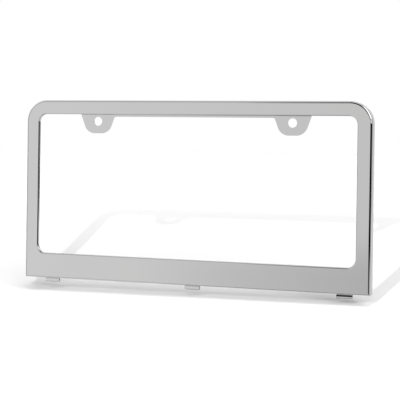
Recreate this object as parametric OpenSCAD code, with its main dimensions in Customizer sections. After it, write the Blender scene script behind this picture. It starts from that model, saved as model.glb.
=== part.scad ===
// Pressed number plate frame: one bright sheet, folded back all round its outer edge and round
// its window. Two screw ears hang from a set-back strip behind the top bar, and three hooks
// turn forwards and up below the rear edge of the bottom flange.
// The origin is midway between the two screw holes, on the rear face of the ears, with X along
// the frame, Y pointing back from the face and Z up.

/* [Frame] */
// Width over the side flanges
frame_w = 314.3; // [308:0.1:330]
// Height over the top and bottom flanges
frame_h = 158.6; // [154:0.1:175]
// Depth from the front face to the rear edge of the flanges
rim_depth = 9.4; // [6.5:0.1:14]
// Radius of the two upper outer corners
corner_r = 19; // [12:0.5:25]
// Width of each side leg
leg_w = 12.4; // [9:0.1:16]
// Height of the top bar
top_bar_h = 12.4; // [10:0.1:14]
// Height of the bottom bar
bottom_bar_h = 22.1; // [12:0.1:30]
// Radius of the four window corners
window_corner_r = 7.2; // [4:0.1:12]

/* [Sheet] */
// Thickness of the sheet
sheet = 1; // [0.7:0.05:1.3]
// Inside radius of the fold at the outer edge
edge_fold_r = 1; // [0.3:0.05:1.2]
// Inside radius of the fold round the window
lip_fold_r = 0.2; // [0.1:0.05:0.6]
// Straight length of the lip behind its fold
lip_land = 1.2; // [0.6:0.1:1.6]

/* [Screw ears] */
// Distance between the two screw holes
hole_spacing = 177.8; // [150:0.1:200]
// Diameter of the screw holes
hole_d = 7.9; // [6:0.1:10]
// Drop from the frame's top edge to the screw holes
hole_drop = 18.4; // [17.5:0.1:22]
// Depth from the front face to the front of the ears
ear_setback = 3.8; // [2.8:0.1:5]
// Half width of an ear at the height of its hole
ear_half_w = 14.15; // [12:0.05:18]
// Slope of an ear's sides from upright
ear_side_angle = 20.5; // [10:0.5:25]
// Radius of an ear's lower corners
ear_corner_r = 10; // [7:0.1:10.5]
// Drop from a hole's centre to the bottom of its ear
ear_tail = 10.6; // [9:0.1:14]
// Height of the strip that shows below the top bar between the ears
strip_h = 1.9; // [1:0.1:3]
// Radius in the corner between the strip and an ear
ear_root_r = 2; // [0.5:0.1:2.5]
// Inside radius of the fold from the lip down to the strip
strip_fold_r = 0.5; // [0.2:0.1:0.8]

/* [Hooks] */
// Width of a hook
hook_w = 13.4; // [10:0.1:20]
// Distance from the middle hook to each outer one
hook_pitch = 134.1; // [80:0.1:140]
// Drop from the bottom flange to the bottom of a hook
hook_drop = 4.6; // [4.5:0.1:6]
// Gap between the bottom flange and the tip of a hook
hook_gap = 0.9; // [0.6:0.1:1.5]
// Backward lean of a hook's front from upright
hook_lean = 10; // [4:1:12]
// Inside radius of the fold from the bottom flange down to a hook
hook_fold_r = 0.5; // [0.2:0.1:0.8]
// Inside radius of the turn at the bottom of a hook
curl_r = 0.65; // [0.5:0.05:0.75]

/* [Hidden] */
$fn = 96;

// Levels and depths of the frame
z_top = hole_drop;
z_bottom = z_top - frame_h;
z_bar = z_top - top_bar_h;
z_sill = z_bottom + bottom_bar_h;
y_front = -(ear_setback + sheet);
y_rear = y_front + rim_depth;
half_w = frame_w / 2;
half_window = half_w - leg_w;

// Outside radii of the folds
edge_r = edge_fold_r + sheet;
lip_r = lip_fold_r + sheet;

// Ear outline, measured from the centre of its hole
ear_top = z_bar - strip_fold_r;
ear_top_half_w = ear_half_w + ear_top * tan(ear_side_angle);
ear_arc_z = ear_corner_r - ear_tail;
ear_arc_x = ear_half_w + ear_arc_z * tan(ear_side_angle) - ear_corner_r / cos(ear_side_angle);
ear_tangent_x = ear_arc_x + ear_corner_r * cos(ear_side_angle);
ear_tangent_z = ear_arc_z - ear_corner_r * sin(ear_side_angle);
strip_z = z_bar - strip_h;
strip_half_w = hole_spacing / 2 + ear_top_half_w;

// Wedge of a disc between two directions less than 180 degrees apart
module sector(r, from, to) {
    middle = (from + to) / 2;
    reach = 2 * r;
    intersection() {
        circle(r = r);
        polygon([
            [0, 0],
            [reach * cos(from), reach * sin(from)],
            [reach * cos(middle), reach * sin(middle)],
            [reach * cos(to), reach * sin(to)]
        ]);
    }
}

// Folded sheet seen on edge, from the direction given on through the turn
module fold(inside_r, from, turn = 90) {
    difference() {
        sector(inside_r + sheet, from, from + turn);
        circle(r = inside_r);
    }
}

// Section of an edge that is folded back: across the face along x, back from the face along y
module edge_section(inside_r, depth) {
    outside_r = inside_r + sheet;
    translate([outside_r, outside_r]) fold(inside_r, 180);
    translate([0, outside_r]) square([sheet, depth - outside_r]);
}

module rim_section() {
    edge_section(edge_fold_r, rim_depth);
}

module lip_section() {
    edge_section(lip_fold_r, lip_r + lip_land);
}

// Run of a section along X, with the section's x going back and its y going up
module run_x(half_length) {
    translate([-half_length, 0, 0])
        rotate([90, 0, 90])
            linear_extrude(height = 2 * half_length)
                children();
}

// Quarter turn of a section about an axis that points back, turned on from the upper right
module quarter_turn(x, z, turn) {
    translate([x, y_front, z])
        rotate([0, turn, 0])
            rotate([-90, 0, 0])
                rotate([0, 0, -90])
                    rotate_extrude(angle = 90)
                        children();
}

// Upright plate from an outline drawn in X and Z
module upright(y, thickness) {
    translate([0, y + thickness, 0])
        rotate([90, 0, 0])
            linear_extrude(height = thickness)
                children();
}

// Outline of the flat face as far as the outer fold: rounded above, square below
module face_outline() {
    straight_w = half_w - corner_r;
    flat_half_w = half_w - edge_r;
    translate([-flat_half_w, z_bottom + edge_r])
        square([2 * flat_half_w, frame_h - corner_r - edge_r]);
    translate([-straight_w, z_top - corner_r])
        square([2 * straight_w, corner_r - edge_r]);
    translate([straight_w, z_top - corner_r]) sector(corner_r - edge_r, 0, 90);
    translate([-straight_w, z_top - corner_r]) sector(corner_r - edge_r, 90, 180);
}

// Outline of the gap in the flat face, as far as the lip's fold
module window_outline() {
    gap_half_w = half_window + lip_r;
    straight_w = half_window - window_corner_r;
    gap_h = z_bar - z_sill + 2 * lip_r;
    straight_h = z_bar - z_sill - 2 * window_corner_r;
    middle_z = (z_bar + z_sill) / 2;
    translate([-gap_half_w, z_sill + window_corner_r]) square([2 * gap_half_w, straight_h]);
    translate([-straight_w, z_sill - lip_r]) square([2 * straight_w, gap_h]);
    for (corner = [[1, 1, 0], [-1, 1, 90], [-1, -1, 180], [1, -1, 270]]) {
        translate([corner[0] * straight_w, middle_z + corner[1] * straight_h / 2])
            sector(window_corner_r + lip_r, corner[2], corner[2] + 90);
    }
}

module face() {
    upright(y_front, sheet)
        difference() {
            face_outline();
            window_outline();
        }
}

// Side flange on the right, mitred where it meets the bottom flange
module right_rim() {
    length = frame_h - corner_r;
    intersection() {
        translate([half_w, y_front, z_bottom])
            mirror([1, 0, 0])
                linear_extrude(height = length)
                    rim_section();
        upright(y_front, rim_depth)
            polygon([
                [half_w, z_bottom],
                [half_w, z_bottom + length],
                [half_w - edge_r, z_bottom + length],
                [half_w - edge_r, z_bottom + edge_r]
            ]);
    }
}

// Bottom flange, mitred at both ends
module bottom_rim() {
    intersection() {
        run_x(half_w)
            translate([y_front, z_bottom])
                mirror([1, -1])
                    rim_section();
        upright(y_front, rim_depth)
            polygon([
                [-half_w, z_bottom],
                [half_w, z_bottom],
                [half_w - edge_r, z_bottom + edge_r],
                [-half_w + edge_r, z_bottom + edge_r]
            ]);
    }
}

// Fold and flange round the outer edge
module rim() {
    run_x(half_w - corner_r)
        translate([y_front, z_top])
            rotate(-90)
                rim_section();
    for (side = [0, 1]) {
        mirror([side, 0, 0]) {
            right_rim();
            quarter_turn(half_w - corner_r, z_top - corner_r, 0)
                translate([corner_r, 0])
                    mirror([1, 0])
                        rim_section();
        }
    }
    bottom_rim();
}

// Fold and short lip round the window
module lip() {
    straight_w = half_window - window_corner_r;
    low_z = z_sill + window_corner_r;
    high_z = z_bar - window_corner_r;
    run_x(straight_w)
        translate([y_front, z_bar])
            mirror([1, -1])
                lip_section();
    run_x(straight_w)
        translate([y_front, z_sill])
            rotate(-90)
                lip_section();
    for (side = [0, 1]) {
        mirror([side, 0, 0]) {
            translate([half_window, y_front, low_z])
                linear_extrude(height = high_z - low_z)
                    lip_section();
            quarter_turn(straight_w, high_z, 0) translate([window_corner_r, 0]) lip_section();
            quarter_turn(straight_w, low_z, 90) translate([window_corner_r, 0]) lip_section();
        }
    }
}

// Lip that runs deeper behind the top bar and folds down into the strip between the ears
module strip() {
    lip_back = y_front + lip_r;
    fold_y = -sheet - strip_fold_r;
    run_x(strip_half_w) {
        translate([lip_back, z_bar]) square([fold_y - lip_back, sheet]);
        translate([fold_y, ear_top]) fold(strip_fold_r, 0);
        translate([-sheet, strip_z]) square([sheet, ear_top - strip_z]);
    }
}

// Ear with sloping sides and round lower corners
module ear_outline() {
    polygon([
        [-ear_top_half_w, ear_top],
        [-ear_tangent_x, ear_tangent_z],
        [-ear_arc_x, -ear_tail],
        [ear_arc_x, -ear_tail],
        [ear_tangent_x, ear_tangent_z],
        [ear_top_half_w, ear_top]
    ]);
    translate([ear_arc_x, ear_arc_z]) sector(ear_corner_r, -90, -ear_side_angle);
    translate([-ear_arc_x, ear_arc_z]) sector(ear_corner_r, 180 + ear_side_angle, 270);
}

// Rounded inside corner between the strip's lower edge and the ear's inner side
module ear_root() {
    arc_z = strip_z - ear_root_r;
    arc_x = ear_half_w + arc_z * tan(ear_side_angle) + ear_root_r / cos(ear_side_angle);
    inner_x = arc_x - 2 * ear_root_r * cos(ear_side_angle);
    inner_z = arc_z + 2 * ear_root_r * sin(ear_side_angle);
    difference() {
        polygon([
            [arc_x, arc_z],
            [arc_x, strip_z + strip_h / 2],
            [inner_x, strip_z + strip_h / 2],
            [inner_x, inner_z]
        ]);
        translate([arc_x, arc_z]) circle(r = ear_root_r);
    }
}

module ears() {
    for (side = [0, 1]) {
        mirror([side, 0, 0])
            translate([-hole_spacing / 2, 0, 0])
                upright(-sheet, sheet)
                    difference() {
                        union() {
                            ear_outline();
                            ear_root();
                        }
                        circle(d = hole_d);
                    }
    }
}

// Hook on the rear edge of the bottom flange: folded down, turned forwards and up, then
// leaning back as far as its tip below the flange
module hook_section() {
    curl_out = curl_r + sheet;
    back_y = y_rear + hook_fold_r + sheet;
    fold_z = z_bottom - hook_fold_r;
    curl_z = z_bottom - hook_drop + curl_out;
    front_rise = z_bottom - hook_gap - curl_z - curl_out * sin(hook_lean);
    translate([y_rear, fold_z]) fold(hook_fold_r, 0);
    translate([back_y - sheet, curl_z]) square([sheet, fold_z - curl_z]);
    translate([back_y - curl_out, curl_z]) {
        fold(curl_r, 270);
        fold(curl_r, 180);
        fold(curl_r, 180 - hook_lean, hook_lean);
        rotate(-hook_lean)
            translate([-curl_out, 0])
                square([sheet, front_rise / cos(hook_lean)]);
    }
}

module hooks() {
    for (place = [-1, 0, 1]) {
        translate([place * hook_pitch, 0, 0])
            run_x(hook_w / 2)
                hook_section();
    }
}

module plate_frame() {
    color("silver") {
        face();
        rim();
        lip();
        strip();
        ears();
        hooks();
    }
}

plate_frame();
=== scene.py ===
import math

import bmesh
import bpy
from mathutils import Matrix, Vector


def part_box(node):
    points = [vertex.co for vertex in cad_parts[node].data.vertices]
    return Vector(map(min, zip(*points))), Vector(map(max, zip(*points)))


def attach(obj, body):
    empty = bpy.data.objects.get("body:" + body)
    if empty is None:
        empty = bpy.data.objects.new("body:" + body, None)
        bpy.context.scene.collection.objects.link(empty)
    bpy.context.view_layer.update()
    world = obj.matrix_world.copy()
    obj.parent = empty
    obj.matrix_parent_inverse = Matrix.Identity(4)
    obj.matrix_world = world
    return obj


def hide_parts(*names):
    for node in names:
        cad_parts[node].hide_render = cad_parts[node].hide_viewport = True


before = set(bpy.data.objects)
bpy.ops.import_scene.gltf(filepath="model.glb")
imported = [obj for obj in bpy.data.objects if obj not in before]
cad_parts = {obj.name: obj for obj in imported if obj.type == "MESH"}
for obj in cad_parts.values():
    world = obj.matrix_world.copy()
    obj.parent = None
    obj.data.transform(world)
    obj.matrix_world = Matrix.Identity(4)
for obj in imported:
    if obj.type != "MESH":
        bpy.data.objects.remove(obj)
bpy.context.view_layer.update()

lowCorner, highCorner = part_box("plate_frame")
mm = 0.001
quarterTurn = math.pi / 2
hair = 0.01  # mm, keeps a test clear of what lies right on its limit
flatWithin = 0.01  # radians, faces that meet at less count as one flat face

# The camera stands a metre off, to the right of the frame, about level with its screw holes.
camera = {
    "place": (364.1, -986.4, -15.2),  # mm from the point midway between the screw holes
    "turn": 19.91,  # degrees, as are the tilt and the roll
    "tiltDown": 0.398,
    "roll": 0.812,
    "lens": 110.11,  # mm, as is the sensor
    "sensor": 36.0,
    "shiftY": -0.12895,  # the frame sits below the lens axis in the picture
}


def addCamera(values):
    data = bpy.data.cameras.new("camera")
    data.lens = values["lens"]
    data.sensor_width = values["sensor"]
    data.shift_y = values["shiftY"]
    item = bpy.data.objects.new("camera", data)
    bpy.context.scene.collection.objects.link(item)
    item.matrix_world = (
        Matrix.Translation([v * mm for v in values["place"]])
        @ Matrix.Rotation(math.radians(values["turn"]), 4, "Z")
        @ Matrix.Rotation(quarterTurn - math.radians(values["tiltDown"]), 4, "X")
        @ Matrix.Rotation(math.radians(values["roll"]), 4, "Z")
    )
    bpy.context.scene.camera = item


addCamera(camera)
print("camera placed")

# Sizes of the pressed sheet in mm. The frame's own box gives the outer ones.
plateFrame = {
    "sheet": 1.0,
    "cornerR": 19.0,
    "legW": 12.4,
    "topBarH": 12.4,
    "bottomBarH": 22.1,
    "windowR": 7.2,
    "rimDepth": 9.4,
    "rimFoldR": 2.0,  # outside radii of the folds
    "lipFoldR": 1.2,
    "lipDepth": 2.4,
    "holeSpacing": 177.8,
    "holeD": 7.9,
    "holeSides": 96,
    "cutterDepth": 6.0,
    "earHalfW": 14.15,  # at the level of the hole
    "earSlope": 20.5,  # degrees from upright
    "earR": 10.0,
    "earTail": 10.6,
    "stripH": 1.9,
    "stripFoldR": 0.5,  # inside radius, because the strip folds the other way
    "earRootR": 2.0,
    "hookW": 13.4,
    "hookPitch": 134.1,
    "hookDrop": 4.6,
    "hookGap": 0.9,  # from the bottom flange to the tip
    "hookLean": 10.0,  # degrees that the front leans back
    "hookFoldR": 0.5,
    "curlR": 0.65,
    "arcSteps": 28,
    "foldSteps": 14,
    "smoothBelow": 7.5,  # degrees, just over one step of a fold, so that mitres stay sharp
}


def pick(piece, kind, test):
    # Selects what has its middle, in mm, where the test says.
    bpy.ops.mesh.select_mode(type=kind)
    bpy.ops.mesh.select_all(action="DESELECT")
    mesh = bmesh.from_edit_mesh(piece.data)
    group = {"VERT": mesh.verts, "EDGE": mesh.edges, "FACE": mesh.faces}[kind]
    for part in group:
        corners = [part.co] if kind == "VERT" else [v.co for v in part.verts]
        middle = sum(corners, Vector()) / len(corners) / mm
        part.select_set(test(middle))
    bmesh.update_edit_mesh(piece.data)


def move(x, y, z):
    bpy.ops.transform.translate(value=(x * mm, y * mm, z * mm))


def extrude(x, y, z):
    bpy.ops.mesh.extrude_edges_move(TRANSFORM_OT_translate={"value": (x * mm, y * mm, z * mm)})


def curl(turns, steps, y, z):
    # A fold about the x axis through this y and z, in quarter turns.
    bpy.ops.mesh.spin(steps=steps, angle=turns * quarterTurn, center=(0, y * mm, z * mm), axis=(1, 0, 0))


def cutAcross(x):
    bpy.ops.mesh.bisect(plane_co=(x * mm, 0, 0), plane_no=(1, 0, 0))


def roundOff(kind, radius, steps, profile=0.5):
    bpy.ops.mesh.bevel(
        offset=radius * mm, segments=steps, affect=kind, clamp_overlap=False, profile=profile,
    )


def near(a, b):
    return abs(a - b) < 2 * hair


def applyModifier(piece, kind, settings):
    modifier = piece.modifiers.new(kind.lower(), kind)
    for name, value in settings.items():
        setattr(modifier, name, value)
    bpy.context.view_layer.objects.active = piece
    bpy.ops.object.modifier_apply(modifier=modifier.name)


def addHalfFace(size, at):
    # The right half: the top bar from the middle out, down the leg and back along the bottom bar.
    bpy.ops.object.select_all(action="DESELECT")
    bpy.ops.mesh.primitive_plane_add(size=1)
    piece = bpy.context.active_object
    piece.name = "plateFrame"
    piece.rotation_euler.x = quarterTurn
    piece.scale = (at["halfWindow"] * mm, size["topBarH"] * mm, 1)
    piece.location = (at["halfWindow"] / 2 * mm, at["front"] * mm, (at["top"] + at["bar"]) / 2 * mm)
    bpy.ops.object.transform_apply(location=True, rotation=True, scale=True)
    bpy.ops.object.mode_set(mode="EDIT")
    pick(piece, "EDGE", lambda p: near(p.x, at["halfWindow"]))
    extrude(size["legW"], 0, 0)
    pick(piece, "EDGE", lambda p: near(p.z, at["bar"]) and p.x > at["halfWindow"])
    extrude(0, 0, at["sill"] - at["bar"])
    extrude(0, 0, at["bottom"] - at["sill"])
    pick(piece, "EDGE", lambda p: near(p.x, at["halfWindow"]) and p.z < at["sill"])
    extrude(-at["halfWindow"], 0, 0)
    bpy.ops.mesh.select_all(action="SELECT")
    bpy.ops.mesh.dissolve_limited(angle_limit=flatWithin)
    pick(piece, "VERT", lambda p: near(p.x, at["halfWindow"])
         and (near(p.z, at["bar"]) or near(p.z, at["sill"])))
    roundOff("VERTICES", size["windowR"], size["arcSteps"])
    pick(piece, "VERT", lambda p: near(p.x, at["halfW"]) and near(p.z, at["top"]))
    roundOff("VERTICES", size["cornerR"], size["arcSteps"])
    return piece


def foldEdges(piece, size, at):
    def onWindow(p):
        return p.x < at["halfWindow"] + hair and at["sill"] - hair < p.z < at["bar"] + hair

    def onFront(p):
        return near(p.y, at["front"]) and p.x > hair

    pick(piece, "EDGE", lambda p: onFront(p) and onWindow(p))
    extrude(0, size["lipDepth"], 0)
    pick(piece, "EDGE", lambda p: onFront(p) and not onWindow(p))
    extrude(0, size["rimDepth"], 0)
    pick(piece, "EDGE", lambda p: onFront(p) and not onWindow(p))
    roundOff("EDGES", size["rimFoldR"], size["foldSteps"])
    pick(piece, "EDGE", lambda p: onFront(p) and onWindow(p))
    roundOff("EDGES", size["lipFoldR"], size["foldSteps"])


def addStripAndEar(piece, size, at):
    slope = math.tan(math.radians(size["earSlope"]))
    earX = size["holeSpacing"] / 2
    lipBack = at["front"] + size["lipDepth"]
    foldZ = at["bar"] - size["stripFoldR"]
    stripZ = at["bar"] - size["stripH"]
    stripFront = -size["sheet"]  # the ears' rear is at y = 0
    stripEnd = earX + size["earHalfW"] + foldZ * slope
    rootX = earX - size["earHalfW"] - stripZ * slope
    pick(piece, "FACE", lambda p: near(p.z, at["bar"]) and p.y < lipBack)
    cutAcross(stripEnd)
    pick(piece, "EDGE", lambda p: near(p.z, at["bar"]) and near(p.y, lipBack) and hair < p.x < stripEnd)
    extrude(0, stripFront - size["stripFoldR"] - lipBack, 0)
    curl(1, size["foldSteps"], stripFront - size["stripFoldR"], foldZ)
    extrude(0, 0, stripZ - foldZ)
    pick(piece, "FACE", lambda p: near(p.y, stripFront) and stripZ < p.z < foldZ)
    cutAcross(rootX)
    pick(piece, "EDGE", lambda p: near(p.y, stripFront) and near(p.z, stripZ) and p.x > rootX)
    extrude(0, 0, -size["earTail"] - stripZ)
    pick(piece, "VERT", lambda p: near(p.y, stripFront) and near(p.x, stripEnd) and near(p.z, stripZ))
    move(stripZ * slope - foldZ * slope, 0, 0)
    pick(piece, "VERT", lambda p: near(p.x, stripEnd) and near(p.z, -size["earTail"]))
    move(-(size["earTail"] + foldZ) * slope, 0, 0)
    pick(piece, "VERT", lambda p: near(p.x, rootX) and near(p.z, -size["earTail"]))
    move((size["earTail"] + stripZ) * slope, 0, 0)
    pick(piece, "FACE", lambda p: near(p.y, stripFront) and p.z < foldZ)
    bpy.ops.mesh.dissolve_limited(angle_limit=flatWithin)

    # The tangent length of an arc where the sides meet at this blunter angle, and the bevel profile
    # that comes closest to a circle there.
    tangent = math.tan(math.radians(90 - size["earSlope"]) / 2)
    circleProfile = 0.5265
    pick(piece, "VERT", lambda p: near(p.z, -size["earTail"]))
    roundOff("VERTICES", size["earR"] * tangent, size["arcSteps"], circleProfile)
    pick(piece, "VERT", lambda p: near(p.x, rootX) and near(p.z, stripZ))
    roundOff("VERTICES", size["earRootR"] * tangent, size["foldSteps"], circleProfile)


def addHooks(piece, size, at):
    halfHook = size["hookW"] / 2
    inner = size["hookPitch"] - halfHook
    outer = size["hookPitch"] + halfHook
    foldZ = at["bottom"] - size["hookFoldR"]
    hookFront = at["rear"] + size["hookFoldR"]
    curlOut = size["curlR"] + size["sheet"]
    curlZ = at["foot"] + curlOut
    lean = math.radians(size["hookLean"])
    tipRise = (at["bottom"] - size["hookGap"] - curlZ) / math.cos(lean) - curlOut * math.tan(lean)
    for x in (halfHook, inner, outer):
        pick(piece, "FACE", lambda p: near(p.z, at["bottom"]))
        cutAcross(x)
    pick(piece, "EDGE", lambda p: near(p.z, at["bottom"]) and near(p.y, at["rear"])
         and (hair < p.x < halfHook or inner < p.x < outer))
    curl(1, size["foldSteps"], at["rear"], foldZ)
    extrude(0, 0, curlZ - foldZ)
    curl(2 + size["hookLean"] / 90, 3 * size["foldSteps"], hookFront - size["curlR"], curlZ)
    extrude(0, tipRise * math.sin(lean), tipRise * math.cos(lean))


def addScrewCutter(size):
    bpy.ops.object.select_all(action="DESELECT")
    bpy.ops.mesh.primitive_cylinder_add(
        vertices=size["holeSides"], radius=size["holeD"] / 2 * mm, depth=size["cutterDepth"] * mm,
        location=(size["holeSpacing"] / 2 * mm, 0, 0), rotation=(quarterTurn, 0, 0),
    )
    cutter = bpy.context.active_object
    bpy.ops.object.transform_apply(location=True, rotation=True, scale=True)
    applyModifier(cutter, "MIRROR", {})
    return cutter


def addPlateFrame(size):
    # Places in mm, from the frame's own box and the sizes.
    at = {
        "halfW": highCorner.x / mm,
        "top": highCorner.z / mm,
        "front": lowCorner.y / mm,
        "foot": lowCorner.z / mm,
    }
    at["bottom"] = at["foot"] + size["hookDrop"]
    at["bar"] = at["top"] - size["topBarH"]
    at["sill"] = at["bottom"] + size["bottomBarH"]
    at["halfWindow"] = at["halfW"] - size["legW"]
    at["rear"] = at["front"] + size["rimDepth"]
    piece = addHalfFace(size, at)
    foldEdges(piece, size, at)
    addStripAndEar(piece, size, at)
    addHooks(piece, size, at)
    bpy.ops.mesh.select_all(action="SELECT")
    bpy.ops.mesh.normals_make_consistent(inside=False)
    # The widest face is the front's, and its outer side looks towards -Y.
    widest = max(bmesh.from_edit_mesh(piece.data).faces, key=lambda f: f.calc_area())
    if widest.normal.y > 0:
        bpy.ops.mesh.flip_normals()
    bpy.ops.object.mode_set(mode="OBJECT")
    applyModifier(piece, "MIRROR", {"merge_threshold": hair * mm})
    wall = {"thickness": size["sheet"] * mm, "offset": -1, "use_even_offset": True}
    applyModifier(piece, "SOLIDIFY", wall)
    cutter = addScrewCutter(size)
    applyModifier(piece, "BOOLEAN", {"operation": "DIFFERENCE", "object": cutter, "solver": "EXACT"})
    bpy.data.objects.remove(cutter)
    bpy.ops.object.select_all(action="DESELECT")
    piece.select_set(True)
    bpy.context.view_layer.objects.active = piece
    bpy.ops.object.shade_smooth_by_angle(angle=math.radians(size["smoothBelow"]))
    applyModifier(piece, "WEIGHTED_NORMAL", {"keep_sharp": True, "weight": 100})
    return piece


plate = addPlateFrame(plateFrame)
low = [min(v.co[i] for v in plate.data.vertices) / mm for i in range(3)]
high = [max(v.co[i] for v in plate.data.vertices) / mm for i in range(3)]
print("plate frame modelled", len(plate.data.polygons), [round(v, 3) for v in low + high])
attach(plate, "root")
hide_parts("plate_frame")


def linear(code):
    channels = [int(code[i:i + 2], 16) / 255 for i in (1, 3, 5)]
    return [c / 12.92 if c <= 0.04045 else ((c + 0.055) / 1.055) ** 2.4 for c in channels] + [1]


def addNode(tree, kind, settings, links):
    # An input goes by its name, or by its number where several have one name. Any other word is a setting.
    node = tree.nodes.new(kind)
    for name, value in settings.items():
        if isinstance(name, int) or name in node.inputs:
            node.inputs[name].default_value = value
        else:
            setattr(node, name, value)
    for name, source in links.items():
        tree.links.new(source, node.inputs[name])
    return node


# Decorative chromium over bright nickel on pressed steel. It is a mirror of neutral grey.
chrome = {
    "tint": "#C6C6C7",
    "paleTint": "#CACAC9",
    "tintPatch": 90.0,  # mm across, drift in the thickness of the plate
    "smooth": 0.025,
    "hazy": 0.06,
    "hazePatch": 14.0,  # mm, uneven buffing
    "hazeSpan": (0.3, 0.7),  # of the noise, from smooth to hazy
    "waveLength": 45.0,  # mm, the sheet isn't quite flat after pressing
    "waveHeight": 0.004,  # mm
}


def chromePlate(values):
    material = bpy.data.materials.new("mirrorChromePlate")
    material.use_nodes = True
    tree = material.node_tree
    shader = tree.nodes["Principled BSDF"]
    shader.inputs["Metallic"].default_value = 1
    place = addNode(tree, "ShaderNodeTexCoord", {}, {}).outputs["Object"]

    # The tint drifts slowly, so large faces don't look like one flat grey.
    drift = addNode(tree, "ShaderNodeTexNoise", {
        "Scale": 1 / (values["tintPatch"] * mm), "Detail": 1.0}, {"Vector": place})
    tints = addNode(tree, "ShaderNodeMix", {
        "data_type": "RGBA", 6: linear(values["tint"]), 7: linear(values["paleTint"]),
    }, {0: drift.outputs[0]})
    tree.links.new(tints.outputs[2], shader.inputs["Base Color"])

    # Buffing leaves patches of very fine haze, which soften a reflected edge a little.
    haze = addNode(tree, "ShaderNodeTexNoise", {
        "Scale": 1 / (values["hazePatch"] * mm), "Detail": 3.0}, {"Vector": place})
    low, high = values["hazeSpan"]
    rough = addNode(tree, "ShaderNodeMapRange", {
        "From Min": low, "From Max": high, "To Min": values["smooth"], "To Max": values["hazy"],
    }, {"Value": haze.outputs[0]})
    tree.links.new(rough.outputs[0], shader.inputs["Roughness"])

    # Long shallow waves bend the reflections on the wide faces.
    wave = addNode(tree, "ShaderNodeTexNoise", {
        "Scale": 1 / (values["waveLength"] * mm), "Detail": 0.0}, {"Vector": place})
    bump = addNode(tree, "ShaderNodeBump", {
        "Strength": 1.0, "Distance": values["waveHeight"] * mm}, {"Height": wave.outputs[0]})
    tree.links.new(bump.outputs[0], shader.inputs["Normal"])
    return material


plate.data.materials.clear()
plate.data.materials.append(chromePlate(chrome))
print("chrome plate applied")

# Soft light all round over a pale floor. The mirror shows the grey, black and bright panels in it.
# Angles are in degrees, across from straight in front of the face towards its right, and up.
studio = {
    "falls": (
        # across from and to, up from and to, and what the front light loses in between
        (-27.0, -12.0, 91.0, 90.0, 0.093),
        (-22.8, -18.2, -4.0, -6.4, 0.1),
        (-18.2, -12.0, -4.0, -6.4, 0.085),
    ),
    "wallFrom": (120.0, 165.0),  # across, where the light is back to full
    "panelEdge": 2.0,  # how wide the soft edge of a panel is
    "panels": (
        # across from and to, up from and to, brightness
        (-75, -18, 22, 78, 0.67),
        (-155, -50, -20, 20, 0.6),
        (-17, 32, 8, 57, 0.02),
        (10, 103, -4.7, 2.3, 0.002),
        (7, 58, -7.4, -4.7, 0.002),
        (161, 179, -12, 30, 0.8),
        (130, 158, -2.5, 60, 0.09),
        (38, 110, 19, 60, 2.2),
        (-180, 180, -90, -44, 0.78),  # the floor in the frame's own shade
        (-180, 180, -90, -69, 0.3),
    ),
    "floorSize": 30.0,  # m
    "floorColour": "#E7E7E7",
    "floorDrop": 6.6,  # mm from the middle hook down to the floor
    "floorFall": 0.55,  # degrees, the floor lies a little lower to the left
    "farGlow": (0.2, 1.8, 0.18),  # from and to in m, and how much paler the floor is to the camera there
    "lampPlace": (225.0, -979.0, 150.0),  # mm, it throws the long pale shadow
    "lampRadius": 3.0,
    "lampPower": 37.0,
    "domeOnFloor": 0.03,  # share of the walls' light that reaches the floor, the soft lamps give the rest
    "softLamps": (
        # across, up, how wide, power
        (30.0, 34.0, 44.0, 3.5),
        (30.0, 14.0, 20.0, 1.8),
        (20.0, 78.0, 36.0, 0.9),
    ),
}


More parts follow.
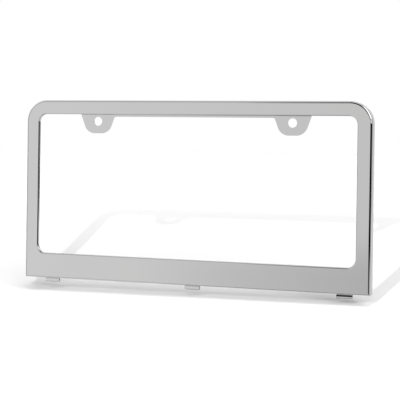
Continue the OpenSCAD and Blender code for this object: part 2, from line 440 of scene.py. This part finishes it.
def addWorld(values):
    world = bpy.data.worlds.new("studio")
    bpy.context.scene.world = world
    world.use_nodes = True
    tree = world.node_tree
    tree.nodes.clear()
    way = addNode(tree, "ShaderNodeTexCoord", {}, {}).outputs["Generated"]
    parts = addNode(tree, "ShaderNodeSeparateXYZ", {}, {"Vector": way}).outputs
    front = addNode(tree, "ShaderNodeMath", {"operation": "MULTIPLY", 1: -1.0}, {0: parts["Y"]})
    turn = addNode(tree, "ShaderNodeMath", {"operation": "ARCTAN2"}, {0: parts["X"], 1: front.outputs[0]})
    across = addNode(tree, "ShaderNodeMath", {"operation": "DEGREES"}, {0: turn.outputs[0]}).outputs[0]
    rise = addNode(tree, "ShaderNodeMath", {"operation": "ARCSINE"}, {0: parts["Z"]})
    up = addNode(tree, "ShaderNodeMath", {"operation": "DEGREES"}, {0: rise.outputs[0]}).outputs[0]

    # What the front light loses towards the right, and back to nothing on the walls behind.
    lost = None
    for left, right, high, low, most in values["falls"]:
        lower = addNode(tree, "ShaderNodeMapRange", {
            "interpolation_type": "SMOOTHSTEP", "From Min": high, "From Max": low}, {"Value": up})
        part = addNode(tree, "ShaderNodeMapRange", {
            "From Min": left, "From Max": right, "To Max": most}, {"Value": across})
        links = {0: part.outputs[0], 1: lower.outputs[0]}
        if lost:
            links[2] = lost
        lost = addNode(tree, "ShaderNodeMath", {"operation": "MULTIPLY_ADD", 2: 0.0}, links).outputs[0]
    fade = {"interpolation_type": "SMOOTHSTEP", "To Min": 1.0, "To Max": 0.0}
    first, last = values["wallFrom"]
    wall = addNode(tree, "ShaderNodeMapRange", {
        **fade, "From Min": first, "From Max": last}, {"Value": across})
    loss = addNode(tree, "ShaderNodeMath", {"operation": "MULTIPLY"}, {0: lost, 1: wall.outputs[0]})
    rest = addNode(tree, "ShaderNodeMath", {"operation": "SUBTRACT", 0: 1.0}, {1: loss.outputs[0]})
    light = rest.outputs[0]

    # A panel covers what lies within its reach of its middle, both across and up.
    for left, right, bottom, top, brightness in values["panels"]:
        covers = {}
        for number, (angle, first, last) in enumerate(((across, left, right), (up, bottom, top))):
            reach = (last - first) / 2
            middle = (first + last) / 2
            offset = addNode(tree, "ShaderNodeMath", {"operation": "SUBTRACT", 1: middle}, {0: angle})
            away = addNode(tree, "ShaderNodeMath", {"operation": "ABSOLUTE"}, {0: offset.outputs[0]})
            inside = addNode(tree, "ShaderNodeMapRange", {
                **fade, "From Min": reach, "From Max": reach + values["panelEdge"],
            }, {"Value": away.outputs[0]})
            covers[number] = inside.outputs[0]
        cover = addNode(tree, "ShaderNodeMath", {"operation": "MULTIPLY"}, covers)
        mix = addNode(tree, "ShaderNodeMix", {"data_type": "FLOAT", 3: brightness}, {
            0: cover.outputs[0], 2: light})
        light = mix.outputs[0]

    # The mirror sees this light in full and the floor a small share. The camera sees plain white.
    rays = addNode(tree, "ShaderNodeLightPath", {}, {}).outputs
    share = addNode(tree, "ShaderNodeMapRange", {
        "To Min": values["domeOnFloor"]}, {"Value": rays["Is Glossy Ray"]})
    lit = addNode(tree, "ShaderNodeMath", {"operation": "MULTIPLY"}, {0: share.outputs[0], 1: light})
    strength = addNode(tree, "ShaderNodeMix", {"data_type": "FLOAT", 3: 1.0},
                       {0: rays["Is Camera Ray"], 2: lit.outputs[0]})
    back = addNode(tree, "ShaderNodeBackground", {
        "Color": linear("#FFFFFF")}, {"Strength": strength.outputs[0]})
    addNode(tree, "ShaderNodeOutputWorld", {}, {"Surface": back.outputs[0]})


def addFloor(values):
    bpy.ops.object.select_all(action="DESELECT")
    level = lowCorner.z - values["floorDrop"] * mm
    bpy.ops.mesh.primitive_plane_add(size=values["floorSize"], location=(0, 0, level))
    floor = bpy.context.active_object
    floor.name = "floor"
    floor.rotation_euler.y = -math.radians(values["floorFall"])
    bpy.ops.object.transform_apply(location=True, rotation=True, scale=True)
    material = bpy.data.materials.new("paleFloor")
    material.use_nodes = True
    tree = material.node_tree
    shader = tree.nodes["Principled BSDF"]
    shader.inputs["Base Color"].default_value = linear(values["floorColour"])
    shader.inputs["Roughness"].default_value = 1
    shader.inputs["Specular IOR Level"].default_value = 0
    shader.inputs["Emission Color"].default_value = linear("#FFFFFF")

    # To the camera alone the floor grows paler further off, until it meets the white behind it.
    seen = addNode(tree, "ShaderNodeLightPath", {}, {}).outputs["Is Camera Ray"]
    place = addNode(tree, "ShaderNodeTexCoord", {}, {}).outputs["Object"]
    away = addNode(tree, "ShaderNodeVectorMath", {"operation": "LENGTH"}, {0: place}).outputs["Value"]
    first, last, most = values["farGlow"]
    far = addNode(tree, "ShaderNodeMapRange", {
        "From Min": first, "From Max": last, "To Max": most}, {"Value": away})
    glow = addNode(tree, "ShaderNodeMath", {"operation": "MULTIPLY"}, {0: seen, 1: far.outputs[0]})
    tree.links.new(glow.outputs[0], shader.inputs["Emission Strength"])
    floor.data.materials.append(material)
    floor.visible_glossy = False


def addLamp(values):
    data = bpy.data.lights.new("lamp", "POINT")
    data.shadow_soft_size = values["lampRadius"] * mm
    data.energy = 1  # the node below gives its strength, the same near and far
    data.use_nodes = True
    tree = data.node_tree
    falloff = addNode(tree, "ShaderNodeLightFalloff", {"Strength": values["lampPower"]}, {})
    tree.links.new(falloff.outputs["Constant"], tree.nodes["Emission"].inputs["Strength"])
    lamp = bpy.data.objects.new("lamp", data)
    lamp.location = [v * mm for v in values["lampPlace"]]
    lamp.visible_glossy = False
    bpy.context.scene.collection.objects.link(lamp)


def addSoftLamps(values):
    for number, (across, up, wide, power) in enumerate(values["softLamps"], 1):
        data = bpy.data.lights.new(f"softLamp{number}", "SUN")
        data.angle = math.radians(wide)
        data.energy = power
        lamp = bpy.data.objects.new(data.name, data)
        lamp.rotation_euler = (quarterTurn - math.radians(up), 0, math.radians(across))
        lamp.visible_glossy = False
        bpy.context.scene.collection.objects.link(lamp)


addWorld(studio)
addFloor(studio)
addLamp(studio)
addSoftLamps(studio)
bpy.context.scene.view_settings.view_transform = "Standard"
print("studio lit")
